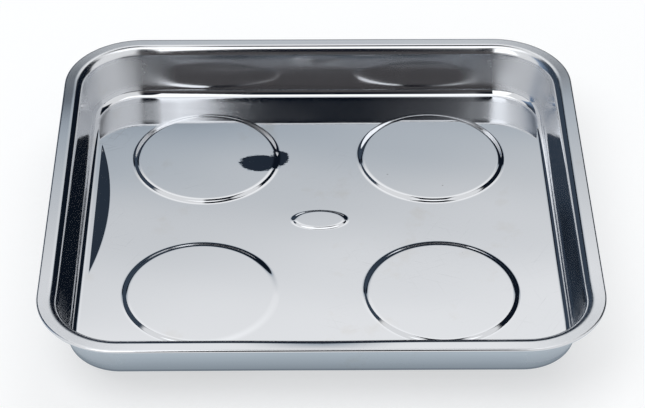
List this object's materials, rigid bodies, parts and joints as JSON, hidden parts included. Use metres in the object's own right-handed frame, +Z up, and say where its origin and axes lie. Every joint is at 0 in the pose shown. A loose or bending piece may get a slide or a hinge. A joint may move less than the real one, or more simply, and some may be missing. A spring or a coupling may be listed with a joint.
{
  "type": "magnetic parts tray",
  "caption": "Shallow rounded-rectangle stainless tray with a hemmed rim, raised round magnet seats and rubber-booted ring magnets underneath, for holding loose steel parts.",
  "frame": {"origin": "under the middle of the tray, on the surface that the rubber boots stand on", "axes": "+X to the right along the tray's long side, +Y to the back, +Z up out of the tray"},
  "size_m": [0.292, 0.2736, 0.0422],
  "materials": {
    "pan_stainless": "bright-annealed stainless sheet, nearly a mirror, with fine scratches",
    "boot_rubber": "matte moulded black rubber",
    "cup_stainless": "satin pressed stainless sheet",
    "magnet_ferrite": "dull sintered ferrite",
    "stud_stainless": "plain stainless thread with a weld flange",
    "zinc_plated": "bright zinc plating"
  },
  "bodies": {
    "root": {"tray_pan": "pan_stainless", "front_left_rubber_boot": "boot_rubber", "front_left_magnet_cup": "cup_stainless", "front_left_ring_magnet": "magnet_ferrite", "front_left_weld_stud": "stud_stainless", "front_right_rubber_boot": "boot_rubber", "front_right_magnet_cup": "cup_stainless", "front_right_ring_magnet": "magnet_ferrite", "front_right_weld_stud": "stud_stainless", "back_left_rubber_boot": "boot_rubber", "back_left_magnet_cup": "cup_stainless", "back_left_ring_magnet": "magnet_ferrite", "back_left_weld_stud": "stud_stainless", "back_right_rubber_boot": "boot_rubber", "back_right_magnet_cup": "cup_stainless", "back_right_ring_magnet": "magnet_ferrite", "back_right_weld_stud": "stud_stainless", "flat_washers": "zinc_plated", "spring_washers": "zinc_plated", "hex_nuts": "zinc_plated"}
  },
  "joints": []
}
